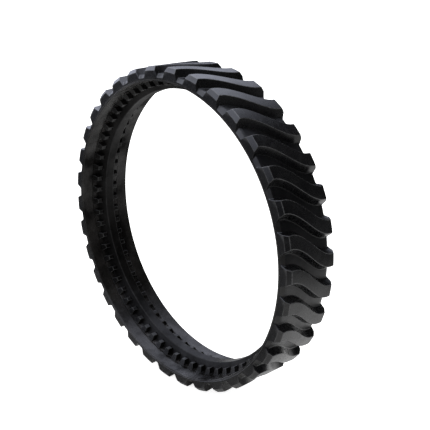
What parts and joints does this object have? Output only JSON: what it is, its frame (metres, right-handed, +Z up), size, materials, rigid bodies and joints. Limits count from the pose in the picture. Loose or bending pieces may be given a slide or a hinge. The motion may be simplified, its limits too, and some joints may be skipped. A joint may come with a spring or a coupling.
{
  "type": "rubber track",
  "caption": "Endless all-rubber drive track: S-shaped tread bars outside, smooth wheel paths, a central rib and two rows of drive teeth inside, over a corded carcass.",
  "frame": {"origin": "centre of the loop, on its axis and half-way across the belt", "axes": "+Y along the loop's axis, across the belt from the near side to the far side; +Z up with the loop standing on its tread"},
  "size_m": [1.253, 0.23, 1.253],
  "materials": {
    "tread_rubber": "semi-gloss moulded black rubber",
    "cover_rubber": "smooth moulded black rubber with a soft sheen",
    "gum_rubber": "matt bonding gum",
    "ply_fabric": "rubber-coated woven cord ply",
    "core_rubber": "hard rubber compound",
    "cord_steel": "plated steel cord"
  },
  "bodies": {
    "root": {"tread_bars": "tread_rubber", "tread_base": "tread_rubber", "near_edge_strip": "tread_rubber", "far_edge_strip": "tread_rubber", "near_wheel_path": "cover_rubber", "far_wheel_path": "cover_rubber", "rib_base_strip": "cover_rubber", "drive_rib": "cover_rubber", "near_drive_teeth": "cover_rubber", "far_drive_teeth": "cover_rubber", "cushion_gum": "gum_rubber", "ply_gum": "gum_rubber", "cord_gum_inner": "gum_rubber", "cord_gum_outer": "gum_rubber", "inner_fabric_ply": "ply_fabric", "bias_ply_left": "ply_fabric", "bias_ply_right": "ply_fabric", "cross_ply": "ply_fabric", "rib_core_wrap": "ply_fabric", "rib_core": "core_rubber", "tension_cords": "cord_steel"}
  },
  "joints": []
}
